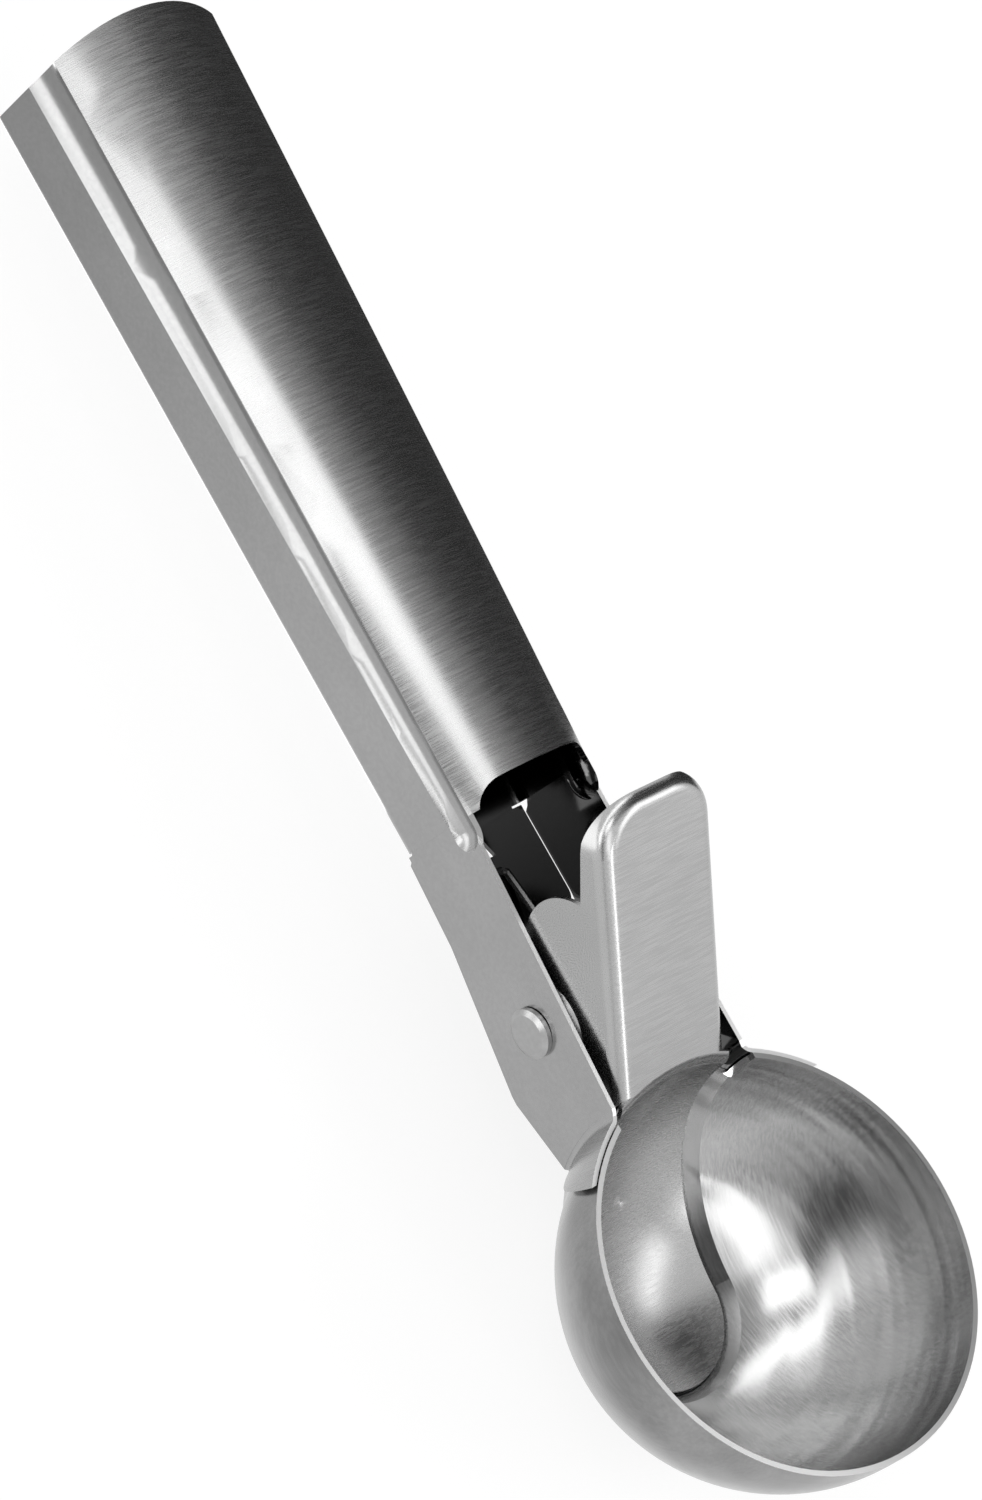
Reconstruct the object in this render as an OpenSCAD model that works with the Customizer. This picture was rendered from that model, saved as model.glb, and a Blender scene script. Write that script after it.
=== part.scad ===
// Lever ice cream scoop in pressed stainless sheet: a hollow handle whose two
// ears carry the bowl, and a thumb lever that turns on a cross rivet between
// them and sweeps its tongue through the bowl. A double torsion spring on the
// rivet brings the lever back.
//
// The pieces are drawn in the head frame: its origin is the centre of the
// bowl's sphere, +X points away from the handle and +Z out of the bowl.

/* [Bowl] */
// Outside diameter of the bowl
bowl_d = 56; // [50:1:62]
// Sheet thickness of the bowl
bowl_t = 0.7; // [0.5:0.1:0.9]
// Height of the straight wall above the half sphere
bowl_wall_h = 3.1; // [2:0.1:5]
// Tilt of the rim, with its front edge up
rim_tilt = 5; // [0:0.5:8]
// Width of the notch in the wall that the tongue comes in through
notch_w = 24.6; // [22.6:0.2:26]
// Depth of the notch below the rim
notch_h = 6.2; // [5:0.2:8]
// Depth of the pressed recess that the tongue lies in
recess_depth = 1.3; // [1.1:0.1:1.8]

/* [Handle] */
// Length of the closed part of the handle, along its underside
grip_l = 108.5; // [90:1:130]
// Width of the handle at its back end
grip_back_w = 26.8; // [23:0.2:30]
// Width of the handle at its neck, where the ears begin
neck_w = 21.4; // [20.8:0.2:22.4]
// Height of the handle from its underside to its crown
grip_h = 21.8; // [19:0.1:24]
// Rise of the arched top above its side creases at the back end
arch_rise_back = 4.7; // [3.5:0.1:6]
// Rise of the arched top above its side creases at the neck
arch_rise_neck = 5.8; // [4.5:0.1:7]
// Sheet thickness of the handle
grip_t = 0.7; // [0.5:0.1:0.9]
// Bend radius of the two bottom corners
corner_r = 2.4; // [1.5:0.1:4]
// How far the back edge bows out at its middle
back_bow = 2.2; // [0.5:0.1:4]
// Depth of the groove pressed along each side
groove_depth = 0.9; // [0.4:0.1:1.3]
// Height of the bowl's centre above the handle's underside
bowl_lift = 14.5; // [12:0.5:16]

/* [Ears] */
// Distance from the neck to the bowl's wall
ear_l = 40; // [37:0.5:46]
// Outside distance between the ears where they meet the bowl
ear_front_w = 24.1; // [23.9:0.1:24.7]
// How far the opening in the arch reaches back past the neck
opening_back = 2.6; // [1:0.2:6]
// Corner radius of that opening
opening_r = 3.2; // [1.5:0.1:4.5]
// How far the ears reach below the handle's underside at the rivet's front
ear_drop = 1.9; // [1:0.1:4]
// Angle round the bowl at which the welded tabs end
tab_end = 45; // [40:1:50]
// Inside radius of the bend from ear to tab
tab_bend_r = 1.5; // [1:0.1:2.5]
// Gap between the tabs and the bowl
tab_gap = 0.25; // [0.2:0.05:0.4]

/* [Lever] */
// Width of the lever
lever_w = 19.6; // [18.4:0.2:20]
// Sheet thickness of the lever
lever_t = 0.7; // [0.5:0.1:0.9]
// Length of the thumb plate from its crease to its top
thumb_l = 40.5; // [36:0.5:46]
// Angle of the thumb plate above the handle's axis
thumb_angle = 36; // [33:0.5:42]
// Corner radius at the top of the thumb plate
thumb_r = 7; // [5:0.5:9]
// Depth of the turned-down edge beside the cheeks
flange_depth = 4.9; // [4:0.1:5.5]
// Bend radius of the turned-down edge
flange_r = 2.2; // [1:0.1:2.6]
// Bend radius of the crease between plate and tongue
crease_r = 2.2; // [1.2:0.1:3]
// How far the tongue reaches past the bowl's lowest point
tongue_reach = 9.2; // [5:0.2:11]
// Running gap between the tongue and its recess
tongue_gap = 0.3; // [0.2:0.05:0.4]
// Radius of the round rear lobe of each cheek
lobe_r = 8.2; // [7:0.1:9]

/* [Rivet and spring] */
// Distance from the bowl's wall back to the rivet's axis
pivot_back = 12.5; // [11.5:0.5:15]
// Depth of the rivet's axis below the bowl's centre
pivot_drop = 6.4; // [5.5:0.1:7]
// Diameter of the rivet's shank
rivet_d = 4; // [3:0.1:4.4]
// Diameter of the rivet's heads
rivet_head_d = 6.7; // [6:0.1:8]
// Height of the rivet's heads
rivet_head_h = 1.1; // [0.6:0.1:1.5]
// Radial running clearance of the lever on the rivet
pivot_clearance = 0.05; // [0.02:0.01:0.08]
// Wire diameter of the spring
wire_d = 1.1; // [0.8:0.1:1.3]
// Turns of wire in each coil of the spring
coil_turns = 4; // [2:1:4]

/* [Hidden] */
$fn = 96;
far = 300;                       // longer than anything in the model
slip = 0.01;                     // overlap that keeps joined solids whole
thinning = 0.02;                 // a bend's sheet is this much thinner on each side

// Bowl
bowl_r = bowl_d / 2;
bowl_ri = bowl_r - bowl_t;
recess_ri = bowl_ri + recess_depth;
recess_ro = recess_ri + bowl_t;
rim_cut_gap = 0.3;               // tabs end this far below the rim

// Rounds a length to a micron, so that solids that share a face meet exactly
function tidy(v) = round(v * 1000) / 1000;

// Height of the rim plane above a point of the head frame
function rim_z(x) = (bowl_wall_h + x * sin(rim_tilt)) / cos(rim_tilt);

// Lever
tongue_ro = recess_ri - tongue_gap;
tongue_ri = tongue_ro - lever_t;
half_w = lever_w / 2;
crease_inset = 0.7;              // plate's foot lies this far inside the tongue's sphere
crease_x = -(tongue_ri - crease_inset);
plate_dist = tidy(-crease_x * sin(thumb_angle));
crease_s = tidy(-crease_x * cos(thumb_angle));
tip_x = tongue_reach - half_w;   // centre of the tongue's round tip
pivot_x = -bowl_r - pivot_back;
pivot_z = -pivot_drop;

// Handle
underside_z = -bowl_lift;
crown_z = underside_z + grip_h;
neck_x = -bowl_r - ear_l;
back_x = neck_x - grip_l;
end_x = back_x - back_bow;
ear_top_z = rim_z(-(bowl_r - 1.5));
taper = atan((grip_back_w - neck_w) / 2 / grip_l);
ear_front_x = -(bowl_r - 1.5);
flare = atan((ear_front_w - neck_w) / 2 / (ear_front_x - neck_x));
ear_lap = 0.05;                  // the ear's sheet ends this far inside the grip's
ear_out = tidy((neck_w / 2 - neck_x * tan(flare)) * cos(flare) - ear_lap);
ear_in = ear_out - grip_t + 2 * ear_lap;
opening_x = neck_x - opening_back;

// The row frame stands on the bowl, midway along the scoop
row_x = -(bowl_r + end_x) / 2;
row_z = recess_ro;

// ---------- helpers ----------

// Extrudes an outline drawn in the X-Z plane from y0 to y1
module along_y(y0, y1) translate([0, y1, 0]) rotate([90, 0, 0]) linear_extrude(y1 - y0) children();

// Draws its children once on each side of the middle plane
module both_sides() {
    children();
    mirror([0, 1, 0]) children();
}

// Turns a revolved piece's axis from Z to Y
module axis_to_y() rotate([-90, 0, 0]) children();

// Ends of the straight edge that bridges two circles, just inside both
function bridge(c1, r1, c2, r2, side) =
    let (d = c2 - c1, turn = atan2(d.y, d.x) + side * acos((r1 - r2) / norm(d)),
         u = [cos(turn), sin(turn)])
    [c1 + (r1 - 0.03) * u, c2 + (r2 - 0.03) * u];

// Quarter ring sector between two radii, from angle a0 to a1
module sector(r_in, r_out, a0, a1) {
    intersection() {
        difference() {
            circle(r_out);
            circle(r_in);
        }
        polygon([[0, 0], 2 * r_out * [cos(a0), sin(a0)],
                 2 * r_out * [cos((a0 + a1) / 2), sin((a0 + a1) / 2)],
                 2 * r_out * [cos(a1), sin(a1)]]);
    }
}

// Section of a bend of outer radius r, thinned a little as it is when pressed;
// it reaches into the sheet on both sides of it
module bend_section(r, t, a0, a1) sector(r - t + thinning, r - thinning, a0 - 1.5, a1 + 1.5);

// ---------- bowl ----------

// Solid of the bowl without its recess, rim plane cut flat
module bowl_solid(r) {
    rotate([0, -rim_tilt, 0]) rotate_extrude() {
        intersection() {
            circle(r);
            translate([0, -r]) square([r, r]);
        }
        square([r, bowl_wall_h]);
    }
}

// Wedge of the pressed channel round the bowl, with sloping walls
module channel_wedge(grow) {
    run = 1.3;                   // slope of the channel's walls
    floor_w = half_w + 0.5;      // half the width of its floor
    floor_d = sqrt(recess_ri * recess_ri - floor_w * floor_w);
    deep = recess_ri + 3;
    shallow = 15;
    foot = tidy(floor_w + grow - (deep - floor_d) / run);
    top = tidy(floor_w + grow + (floor_d - shallow) / run);
    intersection() {
        axis_to_y() rotate_extrude()
            polygon([[shallow, -top], [deep, -foot], [deep, foot], [shallow, top]]);
        translate([-far, -far, -far]) cube([far + tip_x, 2 * far, far]);
    }
    translate([tip_x, 0, -deep]) rotate([0, 0, -90]) rotate_extrude(angle = 180)
        polygon([[0, 0], [foot, 0], [top, deep - shallow], [0, deep - shallow]]);
}

// Channel pressed for the tongue, out to sphere radius r
module channel(r, grow) {
    intersection() {
        channel_wedge(grow);
        axis_to_y() sphere(r);
    }
}

module bowl() {
    color("silver") difference() {
        union() {
            bowl_solid(bowl_r);
            channel(recess_ro, bowl_t * 1.25);
        }
        bowl_solid(bowl_ri);
        channel(recess_ri, 0);
        rotate([0, -rim_tilt, 0]) {
            translate([-far, -far, bowl_wall_h - slip]) cube(2 * far);
            translate([-far, -notch_w / 2, bowl_wall_h - notch_h])
                cube([far - bowl_r / 2, notch_w, far]);
        }
    }
}

// ---------- lever ----------

// The lever is drawn in its own frame, about the bowl's centre: +X runs up the
// thumb plate and +Z out of its face
module on_lever() rotate([0, thumb_angle, 0]) rotate([0, 0, 180]) children();

// Side-view places: from the head frame to the lever's, and back from a point
// that lies s up the plate and n above its face
function to_lever(p) = [tidy(p.y * sin(thumb_angle) - p.x * cos(thumb_angle)),
                        tidy(p.x * sin(thumb_angle) + p.y * cos(thumb_angle))];
function plate_point(s, n) =
    let (a = crease_s + s, b = n - plate_dist)
    [b * sin(thumb_angle) - a * cos(thumb_angle), b * cos(thumb_angle) + a * sin(thumb_angle)];

// The crease's bend, revolved with the tongue about the plate's normal
bend_r = tongue_ri + crease_r;
bend_z = -plate_dist - crease_r;
bend_x = tidy(sqrt(bend_r * bend_r - bend_z * bend_z));
bend_turn = atan2(-bend_z, bend_x);

flange_end = 26.5;               // the turned-down edge is plain past the cheek, from here
flange_rise = 5;                 // its lower edge closes on the plate by this angle
flange_round = 14;               // and then by this radius, over the last part below
flange_round_l = 9;

// Section of the plate's sheet, from a corner's centre to the turned-down edge
module edge_section() {
    bend = thumb_r - flange_r;
    depth = 2 * flange_depth;
    translate([0, -lever_t]) square([bend, lever_t]);
    translate([bend, -flange_r]) sector(flange_r - lever_t, flange_r, 0, 90);
    translate([thumb_r - lever_t, -depth]) square([lever_t, depth - flange_r]);
}

// Thumb plate from the crease up, its edge turned down all round
module thumb_plate() {
    mid = half_w - thumb_r;
    start = bend_x - crease_s - 4;
    run = thumb_l - thumb_r;
    difference() {
        translate([crease_s, 0, -plate_dist]) {
            translate([start, -mid, -lever_t]) cube([run - start, 2 * mid, lever_t]);
            translate([run, mid, 0]) rotate([90, 0, 0]) linear_extrude(2 * mid) edge_section();
            both_sides() {
                translate([start, mid, 0]) rotate([90, 0, 90])
                    linear_extrude(run - start) edge_section();
                translate([run, mid, 0]) rotate_extrude(angle = 90) edge_section();
            }
        }
        translate([0, 0, -far]) cylinder(h = 2 * far, r = bend_x - 0.1);
        translate([crease_s + flange_end, 0, -plate_dist - flange_depth])
            rotate([0, -flange_rise, 0]) translate([-far, -far, -far]) cube([2 * far, 2 * far, far]);
        translate([crease_s + thumb_l - flange_round_l, 0, -plate_dist]) difference() {
            translate([0, -far, -far]) cube([far, 2 * far, far + 2]);
            translate([0, -far, flange_round - flange_depth + 0.3]) axis_to_y()
                cylinder(h = 2 * far, r = flange_round);
        }
    }
}

// Crease and tongue, cut to the lever's width and a round tip
module tongue() {
    intersection() {
        union() {
            rotate([0, 0, -90]) rotate_extrude(angle = 180) {
                translate([bend_x, bend_z]) bend_section(crease_r, lever_t, 90, 180 - bend_turn);
                sector(tongue_ri, tongue_ro, -90, -bend_turn);
            }
            rotate([0, 0, 90]) rotate_extrude(angle = 180) sector(tongue_ri, tongue_ro, -90, 0);
        }
        translate([-far, -half_w, -far]) cube([2 * far, lever_w, 2 * far]);
        rotate([0, 0, 180]) rotate([0, -thumb_angle, 0]) translate([0, 0, -far])
            linear_extrude(far + 6) {
                translate([-far, -lever_w]) square([far + tip_x, 2 * lever_w]);
                translate([tip_x, 0]) circle(half_w + 0.05);
            }
    }
}

lobe = [crease_x - 19, 5.2];     // centre of each cheek's rear lobe
boss_r = 6.9;                    // base radius of the boss round the pivot
boss_h = 0.8;                    // its height
cheek_eye_r = boss_r + 0.6;      // cheek round the pivot
cheek_nose_r = 0.8;              // front corner under the crease
cheek_lap = flange_r + 1;        // the cheek's top laps the turned-down edge
eye = to_lever([pivot_x, pivot_z]);

// Side view of a cheek in the lever's frame, from the turned-down edge to the rivet
module cheek_outline() {
    back = to_lever(lobe);
    nose = [tidy(sqrt(bend_x * bend_x - half_w * half_w)) + 1.2, -plate_dist - 3.4];
    nose_x = nose.x - cheek_nose_r + 0.03;
    rear = bridge(back, lobe_r, eye, cheek_eye_r, 1);
    front = bridge(eye, cheek_eye_r, nose, cheek_nose_r, 1);
    intersection() {
        union() {
            translate(back) circle(lobe_r);
            translate(eye) circle(cheek_eye_r);
            translate(nose) circle(cheek_nose_r);
            polygon([rear[0], rear[1], front[0], front[1], [nose_x, nose.y],
                     [nose_x, -plate_dist], [back.x, -plate_dist], back]);
        }
        translate([0, -far - plate_dist - cheek_lap]) square([far, far]);
    }
}

// One cheek with its hollow boss and running bore
module cheek() {
    difference() {
        union() {
            along_y(half_w - lever_t, half_w) cheek_outline();
            translate([eye.x, half_w - slip, eye.y]) axis_to_y()
                cylinder(h = boss_h + slip, r1 = boss_r, r2 = boss_r - boss_h);
        }
        translate([eye.x, half_w - lever_t - slip, eye.y]) axis_to_y()
            cylinder(h = boss_h + slip, r1 = boss_r - 0.5, r2 = boss_r - boss_h - 0.5);
        translate([eye.x, 0, eye.y]) axis_to_y()
            cylinder(h = lever_w, r = rivet_d / 2 + pivot_clearance);
    }
}

module lever() {
    color("gainsboro") on_lever() {
        thumb_plate();
        tongue();
        both_sides() cheek();
    }
}

// ---------- handle ----------

// Moves its children from the wall's own frame to one side wall of the grip
module on_wall() translate([neck_x, neck_w / 2, 0]) rotate([0, 0, -taper]) children();

groove_z = -0.9;                 // height of the groove's middle
groove_back = 3.5;               // half its width at the back end
groove_neck = 2.3;               // half its width at the neck
groove_end = 1.6;                // it runs this far past the neck
wall_l = grip_l / cos(taper);

function groove_radius(half) = (half * half + groove_depth * groove_depth) / 2 / groove_depth;

// Round bar that presses the groove into a side wall
module groove_bar(grow) {
    r1 = groove_radius(groove_back) + grow;
    r2 = groove_radius(groove_neck) + grow;
    y1 = groove_radius(groove_back) - groove_depth;
    y2 = groove_radius(groove_neck) - groove_depth;
    lean = atan((y1 - y2) / wall_l);
    on_wall() {
        translate([groove_end, y2, groove_z]) {
            rotate([0, 0, -lean]) rotate([0, -90, 0])
                cylinder(h = wall_l + 12, r1 = r2, r2 = r2 + (r1 - r2) * (wall_l + 12) / wall_l);
            sphere(r2);
        }
    }
}

// Filled grip, with every wall taken in by inset
module grip_solid(inset) {
    back_r = (grip_back_w * grip_back_w / 4 + back_bow * back_bow) / 2 / back_bow;
    arch_back = (grip_back_w * grip_back_w / 4 + arch_rise_back * arch_rise_back)
                / 2 / arch_rise_back;
    arch_neck = (neck_w * neck_w / 4 + arch_rise_neck * arch_rise_neck) / 2 / arch_rise_neck;
    drop = atan((arch_back - arch_neck) / grip_l);
    low = underside_z + inset;
    round_r = corner_r - inset;
    difference() {
        intersection() {
            // plan: tapered sides and bowed back edge
            translate([0, 0, low]) linear_extrude(far) intersection() {
                polygon([[neck_x + inset, -neck_w / 2 + inset],
                         [neck_x + inset, neck_w / 2 - inset],
                         [back_x - 9, grip_back_w / 2 + 9 * tan(taper) - inset],
                         [back_x - 9, -grip_back_w / 2 - 9 * tan(taper) + inset]]);
                union() {
                    translate([end_x + back_r, 0]) circle(back_r + 2 * inset);
                    translate([back_x + 4, -far]) square([far, 2 * far]);
                }
            }
            // arched top over plain sides
            union() {
                translate([neck_x, 0, crown_z - arch_neck]) rotate([0, -90 - drop, 0])
                    translate([0, 0, -4]) cylinder(h = grip_l + 20,
                        r1 = arch_neck - inset - 4 * (arch_back - arch_neck) / grip_l,
                        r2 = arch_neck - inset + (grip_l + 16) * (arch_back - arch_neck) / grip_l);
                translate([-far, -far, low]) cube([2 * far, 2 * far, groove_z - low]);
            }
        }
        // rounded bottom corners
        both_sides() on_wall() translate([-wall_l - 20, -inset - round_r, low - slip])
            rotate([90, 0, 90]) linear_extrude(wall_l + 40) difference() {
                square([round_r + 2 * grip_t, round_r + slip]);
                translate([0, round_r + slip]) circle(round_r);
            }
    }
}

// Side view of an ear and its tab, from the neck to the end of the tab
module ear_outline() {
    rivet_front = pivot_x + 7;
    tab_x = -(bowl_r + 0.3) * cos(tab_end);
    polygon([[neck_x - 0.5, ear_top_z], [ear_front_x - 0.9, ear_top_z],
             [ear_front_x, rim_z(ear_front_x) - rim_cut_gap], [tab_x, rim_z(tab_x) - rim_cut_gap],
             [tab_x - 1.1, -7.6], [tab_x - 1.6, -9.2], [tab_x - 2.6, -10.8],
             [tab_x - 3.4, underside_z + 1.1], [rivet_front, underside_z - ear_drop],
             [rivet_front - 1.2, underside_z - ear_drop - 0.05],
             [neck_x + 13, underside_z + 0.6], [neck_x + 1.4, underside_z + 0.6],
             [neck_x + 0.8, underside_z + 1.5], [neck_x - 0.5, underside_z + 2.5]]);
}

// Ear, bend and tab on the far side: a sheet revolved about the ear's normal
module ear() {
    tab_ri = bowl_r + tab_gap;
    tab_ro = tab_ri + ear_out - ear_in;
    c_r = tab_ro + tab_bend_r;
    c_y = ear_out + tab_bend_r;
    c_x = tidy(sqrt(c_r * c_r - c_y * c_y));
    turn = atan2(c_y, c_x);
    intersection() {
        rotate([0, 0, flare]) axis_to_y() rotate_extrude() {
            translate([c_x, ear_in]) square([far, ear_out - ear_in]);
            translate([c_x, c_y])
                bend_section(tab_bend_r + ear_out - ear_in, ear_out - ear_in, 180 + turn, 270);
            sector(tab_ri, tab_ro, turn, 75);
        }
        along_y(0, bowl_r + 5) ear_outline();
    }
}

// Inner side of the groove's round end, where it runs into the ear
module groove_lining() {
    intersection() {
        groove_bar(grip_t);
        translate([neck_x - 0.5, 0, underside_z]) cube([far, ear_in + 0.3 + neck_x * tan(flare), far]);
    }
}

// Opening in the arch in front of the grip, for the lever
module arch_opening() {
    half = neck_w / 2;
    translate([0, 0, ear_top_z]) linear_extrude(far) {
        translate([opening_x + opening_r, -far]) square([far, 2 * far]);
        translate([opening_x, -half + opening_r + 1]) square([far, neck_w - 2 * opening_r - 2]);
        for (side = [-1, 1]) translate([opening_x + opening_r, side * (half - opening_r - 1)])
            circle(opening_r);
    }
}

seam_w = 0.3;                    // butt seam along the underside
seam_open_x = neck_x - 1.5;      // where the seam starts to spread
seam_end_x = neck_x + 4.8;       // front end of the spread seam
seam_open_w = 4.6;               // its width there
seat_front_x = neck_x + 15;      // front edge of the spring's seat
seat_gap = 0.15;                 // between the seat and the ears
seat_relief = 0.3;               // slot between the seat and the grip's corners
seat_round = 2;                  // its front corners

// Flat tongue of the floor that carries the spring's loop
module spring_seat() {
    foot = neck_w / 2 - corner_r;
    back = neck_w / 2 - grip_t - seat_gap + seat_relief * tan(flare);
    round_x = seat_front_x - seat_round;
    front = back + (round_x - neck_x - seat_relief) * tan(flare);
    translate([0, 0, underside_z]) linear_extrude(grip_t) {
        translate([neck_x - 2, -foot]) square([seat_front_x - neck_x, 2 * foot]);
        polygon([[neck_x + seat_relief, -back], [round_x, -front],
                 [round_x, front], [neck_x + seat_relief, back]]);
        translate([neck_x, -front + seat_round])
            square([seat_front_x - neck_x, 2 * front - 2 * seat_round]);
        for (side = [-1, 1]) translate([round_x, side * (front - seat_round - 0.02)])
            circle(seat_round);
    }
}

// Seam between the sheet's edges, spreading towards the neck
module seam() {
    translate([0, 0, underside_z - 1]) linear_extrude(grip_t + 2) {
        translate([-far, -seam_w / 2]) square([far + seam_open_x + slip, seam_w]);
        polygon([[seam_open_x, -seam_w / 2], [seam_end_x, -seam_open_w / 2],
                 [seam_end_x, seam_open_w / 2], [seam_open_x, seam_w / 2]]);
    }
}

module handle() {
    color("silver") difference() {
        union() {
            difference() {
                grip_solid(0);
                both_sides() groove_bar(0);
                difference() {
                    grip_solid(grip_t);
                    both_sides() groove_bar(grip_t);
                }
                arch_opening();
            }
            both_sides() {
                ear();
                groove_lining();
            }
            spring_seat();
        }
        both_sides() groove_bar(0);
        seam();
        translate([pivot_x, -far / 2, pivot_z]) axis_to_y() cylinder(h = far, r = rivet_d / 2);
    }
}

// ---------- rivet ----------

module rivet() {
    reach = ear_out / cos(flare) + (pivot_x + rivet_head_d / 2) * tan(flare);
    head_r = rivet_head_d / 2;
    color("gainsboro") translate([pivot_x, 0, pivot_z]) axis_to_y() {
        translate([0, 0, -reach - slip]) cylinder(h = 2 * reach + 2 * slip, r = rivet_d / 2);
        for (side = [0, 1]) mirror([0, 0, side]) translate([0, 0, reach]) {
            cylinder(h = rivet_head_h * 0.6, r = head_r);
            translate([0, 0, rivet_head_h * 0.6])
                cylinder(h = rivet_head_h * 0.4, r1 = head_r, r2 = head_r - 0.7);
        }
    }
}

// ---------- spring ----------

coil_gap = 0.35;                 // between the shank and the coil
coil_r = rivet_d / 2 + coil_gap + wire_d / 2;
pitch = wire_d + 0.06;
loop_half = 2.2;                 // half the width of the loop at the back
loop_x = neck_x + 7;             // back end of the loop
loop_z = underside_z + grip_t + wire_d / 2 + 0.05;
leg_gap = 0.3;                   // between a leg's end and the thumb plate
leg_s = 17;                      // the legs meet the plate this far up
wire_sides = 8;
turn_steps = 16;

pivot = [pivot_x, pivot_z];
// The loop's arm leaves the coil below, the leg leaves it in front
arm = bridge(pivot, coil_r, [loop_x + 1.5, loop_z], 0, 1);
leg = bridge(pivot, coil_r, plate_point(leg_s, -lever_t - leg_gap - wire_d / 2), 0, -1);

function polar(c, p) = atan2(p.y - c.y, p.x - c.x);
arm_turn = polar(pivot, arm[0]);
leg_turn = polar(pivot, leg[0]);
// Wound from the arm to the leg
sweep = 360 * coil_turns + (((leg_turn - arm_turn) % 360) + 360) % 360;
coil_steps = ceil(sweep / 360 * turn_steps);

// Wire's centre line on the far side, from the loop's middle to the leg's end
wire_half = concat(
    [[loop_x, 0, loop_z], [loop_x, loop_half * 0.6, loop_z],
     [loop_x + 0.4, loop_half * 0.9, loop_z], [loop_x + 1.5, loop_half, loop_z]],
    [for (i = [0:coil_steps]) let (a = arm_turn + sweep * i / coil_steps)
        [pivot_x + coil_r * cos(a), loop_half + pitch * sweep / 360 * i / coil_steps,
         pivot_z + coil_r * sin(a)]],
    [[leg[1].x, loop_half + pitch * sweep / 360, leg[1].y]]);
wire = concat([for (i = [len(wire_half) - 1:-1:1])
                  [wire_half[i].x, -wire_half[i].y, wire_half[i].z]], wire_half);

function unit(v) = v / norm(v);
function across(v, t) = unit(v - (v * t) * t);

// Round bar swept along the points of a path
module sweep_bar(path, r, sides) {
    n = len(path);
    dirs = [for (i = [0:n - 1]) unit(path[min(i + 1, n - 1)] - path[max(i - 1, 0)])];
    ups = [for (i = 0, u = across([0, 1, 0], dirs[0]); i < n;
                i = i + 1, u = i < n ? across(u, dirs[i]) : u) u];
    rings = [for (i = [0:n - 1]) for (k = [0:sides - 1])
        let (a = 360 * k / sides, side = cross(dirs[i], ups[i]))
        path[i] + r * (cos(a) * ups[i] + sin(a) * side)];
    walls = [for (i = [0:n - 2]) for (k = [0:sides - 1])
        let (m = (k + 1) % sides)
        [i * sides + k, (i + 1) * sides + k, (i + 1) * sides + m, i * sides + m]];
    ends = [[for (k = [0:sides - 1]) k], [for (k = [sides - 1:-1:0]) (n - 1) * sides + k]];
    polyhedron(rings, concat(walls, ends));
}

module spring() color("dimgray") sweep_bar(wire, wire_d / 2, wire_sides);

// ---------- the row frame ----------

module place() translate([row_x, 0, row_z]) children();

place() handle();
place() bowl();
place() lever();
place() rivet();
place() spring();
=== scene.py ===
"""Looks of the lever ice cream scoop: brushed stainless sheet under soft studio light."""

import math

import bpy
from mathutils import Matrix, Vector


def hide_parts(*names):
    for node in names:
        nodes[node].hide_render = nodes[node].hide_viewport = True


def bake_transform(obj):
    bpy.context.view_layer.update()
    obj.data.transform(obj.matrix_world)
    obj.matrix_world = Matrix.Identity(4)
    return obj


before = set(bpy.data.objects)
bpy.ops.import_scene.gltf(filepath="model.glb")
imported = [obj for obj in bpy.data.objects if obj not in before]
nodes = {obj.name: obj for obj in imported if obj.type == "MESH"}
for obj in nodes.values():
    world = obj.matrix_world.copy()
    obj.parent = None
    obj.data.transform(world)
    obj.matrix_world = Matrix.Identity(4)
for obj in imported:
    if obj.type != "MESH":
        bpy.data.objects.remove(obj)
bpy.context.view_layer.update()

scene = bpy.context.scene
scene.view_settings.view_transform = "Standard"

# Places on the scoop
AXIS_Z = 0.0257                         # height of the middle of the handle's hollow
NECK_X = 0.0076                         # where the ears begin
RIM_Z = 0.029                           # just under the bowl's rim
BOWL_X, BOWL_Z = 0.07535, 0.0293        # the bowl's centre
SCOOP_MIDDLE = (-0.05, 0, 0.03)

# Inside the bowl a face's plane lies this far from the bowl's centre, as a negative
# distance: 0.0273 on the ball, 0.0244 on the channel's side walls
BALL_SIDE, CHANNEL_SIDE = -0.0262, -0.0254

# Heights of the stage
FLOOR_Z = -0.0005
CARD_Z = 0.0002
FLOOR_HALF = 3

FLAG_RADIUS = 0.5                       # from the handle's axis to the dark cloth
FLAG_STEPS = 16

LENS_MM, SENSOR_MM = 115.28, 36.0
CAMERA_PLACE = (0.047517, -0.380411, 0.501406)
CAMERA_TURN = (24.1045, -31.6008, 56.5223)


# ---------- shader helpers ----------


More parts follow.
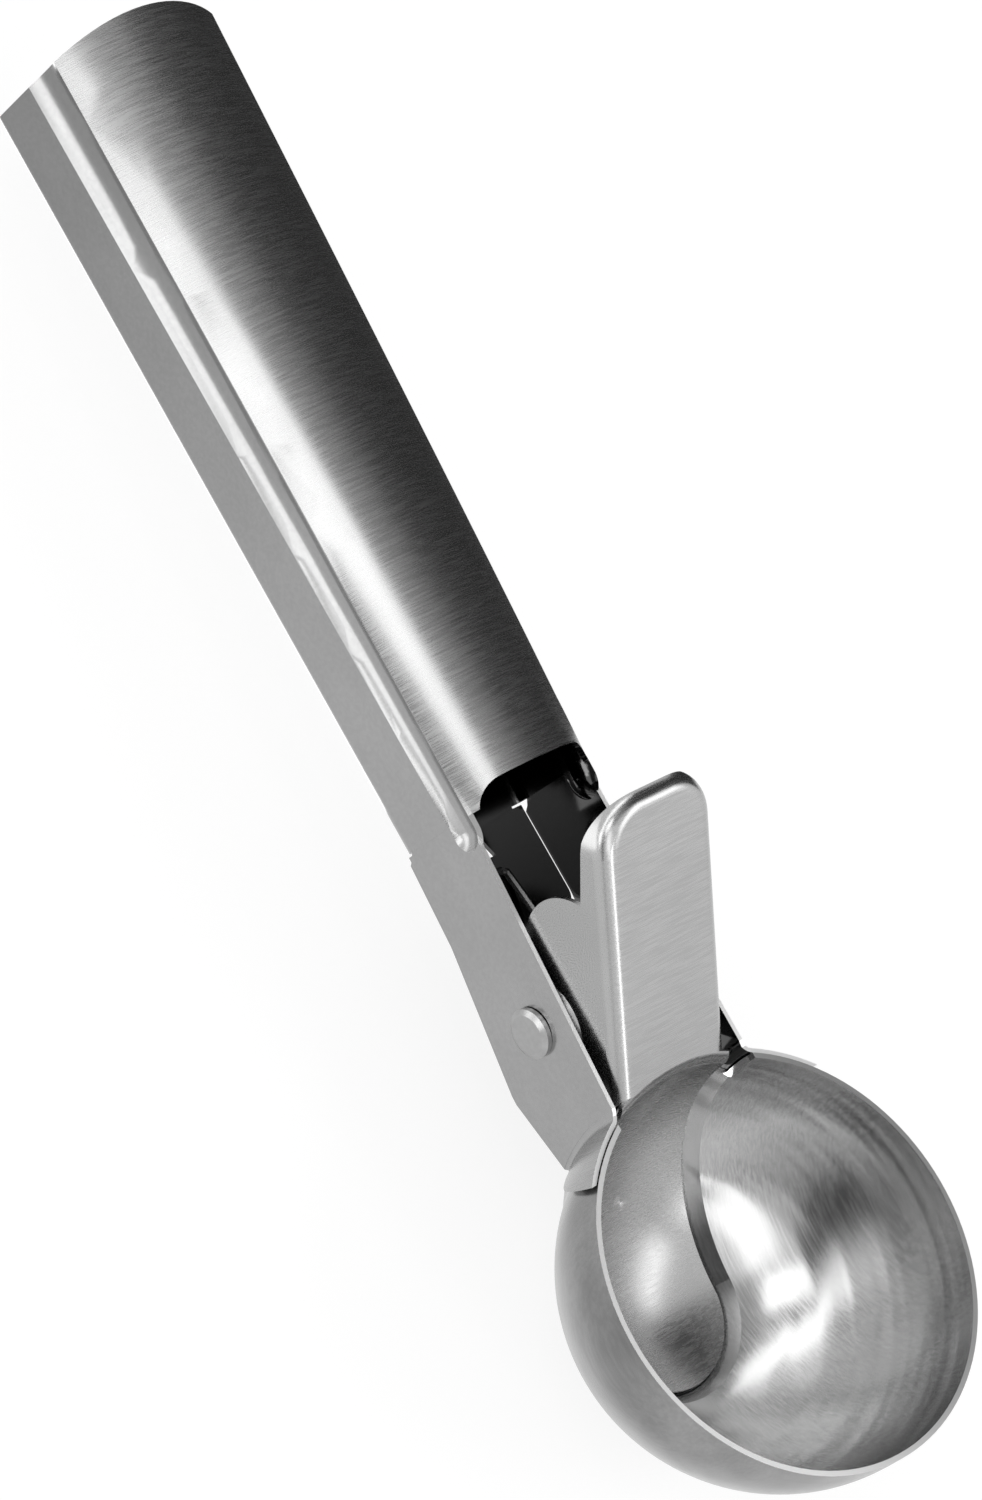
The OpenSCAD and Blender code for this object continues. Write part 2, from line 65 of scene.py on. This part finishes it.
class Shader:
    """A node material with short calls for the nodes used here."""

    def __init__(self, name):
        self.mat = bpy.data.materials.new(name)
        self.mat.use_nodes = True
        self.tree = self.mat.node_tree
        self.tree.nodes.clear()
        coord = self.add("ShaderNodeTexCoord")
        self.place = coord.outputs["Object"]
        self.normal = coord.outputs["Normal"]

    def add(self, kind, **settings):
        node = self.tree.nodes.new(kind)
        for key, value in settings.items():
            setattr(node, key, value)
        return node

    def feed(self, socket, value):
        """Links an input to a socket, or sets it to a constant."""
        if isinstance(value, bpy.types.NodeSocket):
            self.tree.links.new(value, socket)
        else:
            socket.default_value = value

    def out(self, node, inputs, name):
        """Feeds a node's inputs and gives its output of that name."""
        for key, value in inputs.items():
            self.feed(node.inputs[key], value)
        return node.outputs[name]

    def math(self, op, a, b=0.0):
        node = self.add("ShaderNodeMath", operation=op)
        return self.out(node, {0: a, 1: b}, 0)

    def times(self, first, *others):
        """The product, which for masks is their overlap."""
        for other in others:
            first = self.math("MULTIPLY", first, other)
        return first

    def over(self, value, limit):
        return self.math("GREATER_THAN", value, limit)

    def under(self, value, limit):
        return self.math("LESS_THAN", value, limit)

    def xyz(self, vector):
        """The three parts of a vector."""
        node = self.add("ShaderNodeSeparateXYZ")
        self.feed(node.inputs["Vector"], vector)
        return [node.outputs[axis] for axis in "XYZ"]

    def outward(self, **centre):
        """The distance from a centre to the face's plane, below 0 if it faces the centre.

        The centre is a point, or a line where only two axes are given."""
        places = dict(zip("XYZ", self.xyz(self.place)))
        normals = dict(zip("XYZ", self.xyz(self.normal)))
        total = None
        for axis, at in centre.items():
            term = self.times(normals[axis], self.math("SUBTRACT", places[axis], at))
            total = term if total is None else self.math("ADD", total, term)
        return total

    def ramp(self, value, low, high, to_low=0.0, to_high=1.0):
        """Smooth step of a value from one range to another, clamped."""
        node = self.add("ShaderNodeMapRange", interpolation_type="SMOOTHSTEP")
        return self.out(node, {"Value": value, "From Min": low, "From Max": high,
                               "To Min": to_low, "To Max": to_high}, "Result")

    def spread(self, noise, low, high):
        """The middle of a noise's range spread from low to high."""
        return self.ramp(noise, 0.3, 0.7, low, high)

    def noise(self, scale, detail=3.0, rough=0.6):
        """Noise stretched by a scale per axis, in cycles per metre."""
        stretch = self.add("ShaderNodeMapping")
        stretch.inputs["Scale"].default_value = scale
        self.feed(stretch.inputs["Vector"], self.place)
        node = self.add("ShaderNodeTexNoise")
        return self.out(node, {"Vector": stretch.outputs["Vector"], "Scale": 1.0,
                               "Detail": detail, "Roughness": rough}, "Fac")

    def blend(self, mask, a, b):
        """a where mask is 0, b where it is 1."""
        rise = self.math("SUBTRACT", b, a)
        return self.math("ADD", a, self.times(mask, rise))

    def surface(self, shader):
        """Puts a shader on the material and gives the material."""
        self.feed(self.add("ShaderNodeOutputMaterial").inputs["Surface"], shader)
        return self.mat

    def steel(self, grey, rough, height, depth):
        """Metal of a grey level and a roughness, with fine relief in metres."""
        tint = self.add("ShaderNodeCombineColor")
        colour = self.out(tint, {"Red": grey, "Green": grey, "Blue": grey}, "Color")
        relief = self.add("ShaderNodeBump")
        bumps = self.out(relief, {"Strength": 1.0, "Distance": depth, "Height": height},
                         "Normal")
        metal = self.add("ShaderNodeBsdfPrincipled")
        return self.surface(self.out(metal, {"Metallic": 1.0, "Base Color": colour,
                                             "Roughness": rough, "Normal": bumps}, "BSDF"))

    def glow(self, strength):
        """White light of a strength."""
        return self.out(self.add("ShaderNodeEmission"), {"Strength": strength}, "Emission")


# ---------- steels ----------


def handle_steel():
    """Brushed across the arch, satin on the walls, polished inside with painted shade that makes
    it dark, and a painted highlight on the ears' cut edges.
    """
    s = Shader("handle_steel")
    across = s.noise((7500, 240, 240), 2.0, 0.5)
    satin = s.noise((1500, 1500, 1500), 2.0, 0.5)
    cloud = s.noise((60, 90, 90))
    x, _, z = s.xyz(s.place)
    _, ny, nz = s.xyz(s.normal)
    wall = s.ramp(s.math("ABSOLUTE", ny), 0.8, 0.97)
    # inside: the handle's hollow, which gets painted shade below (a near-black grey)
    inside = s.under(s.outward(Y=0.0, Z=AXIS_Z), 0.0)
    # painted highlight: the upward-facing cut edges on top of the ears are made bright, and they
    # are also rougher
    edge = s.times(s.over(x, NECK_X), s.over(nz, 0.9), s.over(z, AXIS_Z))
    grain = s.blend(wall, s.spread(across, 0.91, 1.05), s.spread(satin, 0.97, 1.02))
    grey = s.times(grain, 0.40, s.spread(cloud, 0.97, 1.03))
    # painted shade inside the hollow (grey 0.10) and a painted highlight on the ears' cut edges
    # (grey 0.9)
    grey = s.blend(edge, s.blend(inside, grey, 0.10), 0.9)
    rough = s.blend(wall, s.spread(across, 0.24, 0.3), 0.22)
    rough = s.blend(edge, s.blend(inside, rough, 0.10), 0.55)
    height = s.blend(s.math("MAXIMUM", wall, inside), across, s.times(satin, 0.15))
    return s.steel(grey, rough, height, 0.000005)


def bowl_steel():
    """Brushed along the scoop and faintly ringed inside, with painted shade on the outside,
    painted light and shade on the channel's side walls and a painted highlight on the rim.
    """
    s = Shader("bowl_steel")
    brush = s.noise((160, 4200, 1100), 2.0, 0.55)
    cloud = s.noise((45, 60, 45))
    x, y, z = s.xyz(s.place)
    nz = s.xyz(s.normal)[2]
    away = s.outward(X=BOWL_X, Y=0.0, Z=BOWL_Z)
    inside = s.under(away, 0.0)
    # painted shade: the outside is darker towards the rim
    outer = s.times(s.ramp(z, 0.016, 0.027, 0.42, 0.28), s.ramp(cloud, 0.35, 0.65, 0.85, 1.05))
    grey = s.times(s.spread(brush, 0.93, 1.05), s.blend(inside, outer, 0.5),
                   s.spread(cloud, 0.92, 1.06))
    # painted light and shade on the channel's side walls: light at the tongue's root, dark along
    # it and light at its tip
    side = s.times(inside, s.ramp(away, BALL_SIDE, CHANNEL_SIDE), s.under(z, RIM_Z))
    along = s.blend(s.ramp(x, 0.074, 0.084), s.ramp(x, 0.060, 0.069, 1.0, 0.26), 0.7)
    grey = s.blend(side, grey, along)
    # painted highlight on the rim's top, bright on the near side and darker on the far side; the
    # rim is also rougher
    rim = s.times(s.over(nz, 0.98), s.over(z, RIM_Z))
    grey = s.blend(rim, grey, s.ramp(y, -0.02, 0.02, 0.9, 0.4))
    rough = s.blend(rim, s.spread(brush, 0.21, 0.27), 0.5)
    # rings left by the spinning
    rings = s.times(inside, s.noise((25, 25, 300), 1.0, 0.5))
    height = s.math("ADD", s.times(brush, 0.014), rings)
    return s.steel(grey, rough, height, 0.00025)


def lever_steel():
    """Brushed crosswise."""
    s = Shader("lever_steel")
    brush = s.noise((4500, 200, 4500), 2.0, 0.5)
    cloud = s.noise((50, 50, 50))
    grey = s.times(s.spread(brush, 0.95, 1.04), 0.42, s.spread(cloud, 0.97, 1.03))
    return s.steel(grey, s.spread(brush, 0.23, 0.3), brush, 0.000003)


def plain_steel(name, grey, rough):
    s = Shader(name)
    satin = s.noise((1500, 1500, 1500), 2.0, 0.5)
    return s.steel(s.times(s.spread(satin, 0.96, 1.03), grey), rough, satin, 0.000003)


def dress(node, material):
    """Gives a CAD node's every slot one material."""
    mesh = nodes[node].data
    if not mesh.materials:
        mesh.materials.append(material)
    for i in range(len(mesh.materials)):
        mesh.materials[i] = material


dress("handle", handle_steel())
dress("bowl", bowl_steel())
dress("lever", lever_steel())
dress("rivet", plain_steel("rivet_steel", 0.42, 0.3))
dress("spring", plain_steel("spring_steel", 0.35, 0.25))


def bending_spring():
    """A copy of the spring in the spring's place, with the CAD spring hidden."""
    spring = bpy.data.objects.new("spring_wire", nodes["spring"].data.copy())
    spring.matrix_world = nodes["spring"].matrix_world
    scene.collection.objects.link(spring)
    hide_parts("spring")
    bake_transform(spring)


bending_spring()


# ---------- stage ----------


def stage_panel(name, points, faces, material):
    """A stage mesh that isn't part of the scoop."""
    mesh = bpy.data.meshes.new(name)
    mesh.from_pydata(points, [], faces)
    mesh.materials.append(material)
    obj = bpy.data.objects.new(name, mesh)
    scene.collection.objects.link(obj)
    return obj


def seen_or_mirrored(tree):
    """1 for camera, glossy and transmission rays."""
    path = tree.nodes.new("ShaderNodeLightPath")
    value = path.outputs["Is Camera Ray"]
    for name in ("Is Glossy Ray", "Is Transmission Ray"):
        node = tree.nodes.new("ShaderNodeMath")
        node.operation = "MAXIMUM"
        tree.links.new(value, node.inputs[0])
        tree.links.new(path.outputs[name], node.inputs[1])
        value = node.outputs[0]
    return value


def floor_material():
    """White to the camera and in reflections, and darkened by the scoop's shadow."""
    s = Shader("floor_white")
    plain = s.out(s.add("ShaderNodeBsdfDiffuse"), {"Color": (0.9, 0.9, 0.9, 1)}, "BSDF")
    share = s.times(seen_or_mirrored(s.tree), 0.7)
    mix = s.add("ShaderNodeMixShader")
    return s.surface(s.out(mix, {"Fac": share, 1: plain, 2: s.glow(1.15)}, "Shader"))


def glow_material(name, low, high=None, axis=2, start=0.0, end=1.0):
    """An even glow, or one that goes from low to high along an axis (0, 1, 2 for X, Y, Z)."""
    s = Shader(name)
    level = low if high is None else s.ramp(s.xyz(s.place)[axis], start, end, low, high)
    return s.surface(s.glow(level))


stage_panel("floor", [(x * FLOOR_HALF, y * FLOOR_HALF, FLOOR_Z)
                      for x, y in ((-1, -1), (1, -1), (1, 1), (-1, 1))],
            [(0, 1, 2, 3)], floor_material())


# ---------- cards that only reflections see ----------


def ribbon(name, pairs, material):
    """A strip through pairs of facing points, hidden from all but reflections."""
    points = [point for pair in pairs for point in pair]
    faces = [(2 * i, 2 * i + 1, 2 * i + 3, 2 * i + 2) for i in range(len(pairs) - 1)]
    obj = stage_panel(name, points, faces, material)
    obj.visible_camera = False
    obj.visible_diffuse = False
    obj.visible_shadow = False


def flag(name, back, front, low, material):
    """A cloth curved round the handle's axis, from the angle low upwards.

    back and front are each an X place and the angle at which the cloth ends there."""
    pairs = []
    for i in range(FLAG_STEPS + 1):
        pair = []
        for x, high in (back, front):
            a = math.radians(low + (high - low) * i / FLAG_STEPS)
            pair.append((x, FLAG_RADIUS * math.cos(a), AXIS_Z + FLAG_RADIUS * math.sin(a)))
        pairs.append(pair)
    ribbon(name, pairs, material)


def card(name, x0, x1, y0, y1, material):
    """A card that lies on the floor."""
    ribbon(name, [[(x0, y, CARD_Z), (x1, y, CARD_Z)] for y in (y0, y1)], material)


def bowl_way(azimuth, elevation, distance):
    """The place at a distance from the bowl's middle, in a direction in degrees."""
    a, e = math.radians(azimuth), math.radians(elevation)
    return (BOWL_X + distance * math.cos(e) * math.cos(a),
            distance * math.cos(e) * math.sin(a),
            BOWL_Z + distance * math.sin(e))


def band(name, way, half, distance, glow):
    """A strip round the bowl along directions, half to either side of them in degrees."""
    pairs = [[bowl_way(azimuth, elevation + side * half, distance) for side in (-1, 1)]
             for azimuth, elevation in way]
    ribbon(name, pairs, glow_material(name + "_glow", glow))


# Dark half of the handle's arch
cloth = glow_material("dark_cloth", 0.45, 0.05, 1, -0.16, 0.28)
flag("flag_far", (-0.34, 70), (0.1, 70), -3, cloth)
flag("flag_top", (-0.29, 92), (0.1, 126), 70, cloth)

# The floor as the handle's far edge, near wall and groove see it
card("card_far", -0.5, 0.0, 0.016, 0.52, glow_material("dark_card", 0.05))
card("card_near", -0.2, 0.0, -0.3, -0.058, glow_material("light_card", 2.3))
card("card_wall", -0.2, 0.1, -0.058, -0.012, glow_material("grey_card", 0.56, 0.88, 0, -0.12, 0.0))
card("card_under", -0.2, 0.0, -0.012, 0.008, glow_material("light_card_under", 2.3))

# Dark wedge, highlight above it and streak below it in the bowl
band("band_dark",
     [(-55, 12), (-81, 23), (-97, 31), (-116, 38), (-128, 45), (-139, 53), (-150, 66)],
     7.0, 1.5, 0.06)
band("band_high",
     [(-18, 38), (-32, 44), (-50, 48), (-70, 55), (-88, 62), (-105, 68)],
     10.0, 0.85, 2.4)
band("band_low",
     [(-98, 14), (-110, 17), (-122, 23), (-134, 33), (-147, 38), (-163, 44), (-180, 49),
      (168, 48), (155, 45), (142, 42)],
     7.0, 0.8, 3.0)


# ---------- light ----------


def soft_box(name, place, target, size, radiance):
    """A rectangular lamp at place that faces target."""
    lamp = bpy.data.lights.new(name, "AREA")
    lamp.shape = "RECTANGLE"
    lamp.size, lamp.size_y = size
    lamp.energy = radiance * math.pi * size[0] * size[1]
    obj = bpy.data.objects.new(name, lamp)
    obj.location = place
    way = Vector(target) - Vector(place)
    obj.rotation_euler = way.to_track_quat("-Z", "Y").to_euler()
    scene.collection.objects.link(obj)


soft_box("key", (-0.14, -0.5, 0.70), SCOOP_MIDDLE, (0.28, 0.46), 2.25)
soft_box("low", (-0.2, -1.0, 0.24), SCOOP_MIDDLE, (0.5, 0.2), 2.4)
soft_box("edge", (0.62, -0.03, 0.40), (0.02, -0.01, 0.04), (0.1, 0.3), 4.0)
soft_box("right", bowl_way(50, 46, 0.8), (BOWL_X, 0, BOWL_Z), (0.45, 0.36), 1.9)

world = bpy.data.worlds.new("studio")
scene.world = world
world.use_nodes = True
sky = world.node_tree
sky.nodes.clear()
pick = sky.nodes.new("ShaderNodeMixShader")
sky.links.new(seen_or_mirrored(sky), pick.inputs["Fac"])
# the room's light first, then the white that the camera and reflections see
for i, level in ((1, 0.6), (2, 1.0)):
    backdrop = sky.nodes.new("ShaderNodeBackground")
    backdrop.inputs["Color"].default_value = (level, level, level, 1)
    backdrop.inputs["Strength"].default_value = 1.0
    sky.links.new(backdrop.outputs["Background"], pick.inputs[i])
sky_out = sky.nodes.new("ShaderNodeOutputWorld")
sky.links.new(pick.outputs["Shader"], sky_out.inputs["Surface"])


# ---------- camera ----------

lens = bpy.data.cameras.new("camera")
lens.sensor_fit = "VERTICAL"
lens.sensor_height = SENSOR_MM
lens.lens = LENS_MM
camera = bpy.data.objects.new("camera", lens)
camera.location = CAMERA_PLACE
camera.rotation_euler = [math.radians(a) for a in CAMERA_TURN]
scene.collection.objects.link(camera)
scene.camera = camera
